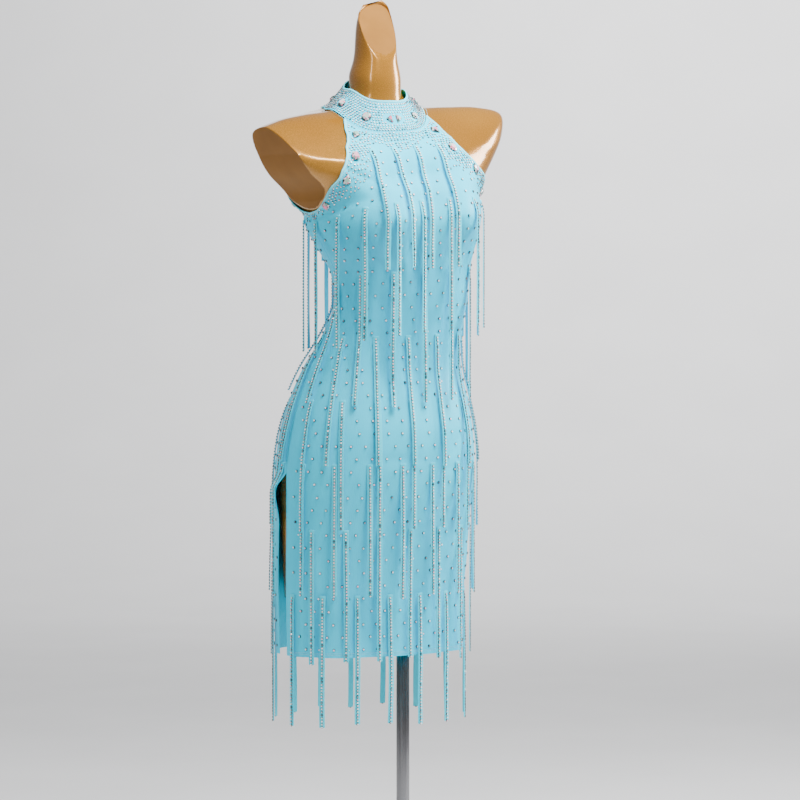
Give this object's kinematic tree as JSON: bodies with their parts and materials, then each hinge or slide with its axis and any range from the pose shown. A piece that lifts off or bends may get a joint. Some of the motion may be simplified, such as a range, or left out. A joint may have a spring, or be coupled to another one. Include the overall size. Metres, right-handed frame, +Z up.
{
  "type": "dance dress on a limbless dress form",
  "caption": "Sleeveless stretch satin dance dress with stand collar, ribbon fringe and stones, on a dress form with a pole stand.",
  "frame": {"origin": "centre of the underside of the round base plate, on the pole's axis", "axes": "+Z up along the pole, -Y the way the front of the dress faces, +X to the wearer's left"},
  "size_m": [0.452, 0.36, 1.5548],
  "materials": {
    "satin": "turquoise stretch satin",
    "form_gold": "gloss gold lacquer on moulded fibreglass",
    "pole_steel": "dark polished steel tube",
    "base_steel": "satin steel plate",
    "crystal": "clear cut glass with an iridescent coating"
  },
  "bodies": {
    "root": {"front": "satin", "back_left": "satin", "back_right": "satin", "collar": "satin", "fringe_1": "satin", "fringe_2": "satin", "fringe_3": "satin", "fringe_4": "satin", "fringe_5": "satin", "fringe_6": "satin", "fringe_7": "satin", "fringe_8_front": "satin", "fringe_8_back": "satin", "dress_form": "form_gold", "form_socket": "pole_steel", "pole": "pole_steel", "pole_flange": "pole_steel", "base_plate": "base_steel", "stone_front_a": "crystal", "stone_front_b": "crystal", "stone_collar_1": "crystal", "stone_collar_2": "crystal", "stone_collar_3": "crystal", "stone_collar_4": "crystal", "stone_collar_5": "crystal", "stone_collar_6": "crystal", "stone_front_left_1": "crystal", "stone_front_left_2": "crystal", "stone_front_left_3": "crystal", "stone_front_left_4": "crystal", "stone_front_right_1": "crystal", "stone_front_right_2": "crystal", "stone_front_right_3": "crystal", "stone_front_right_4": "crystal", "stone_back_left_1": "crystal", "stone_back_left_2": "crystal", "stone_back_left_3": "crystal", "stone_back_right_1": "crystal", "stone_back_right_2": "crystal", "stone_back_right_3": "crystal"}
  },
  "joints": []
}
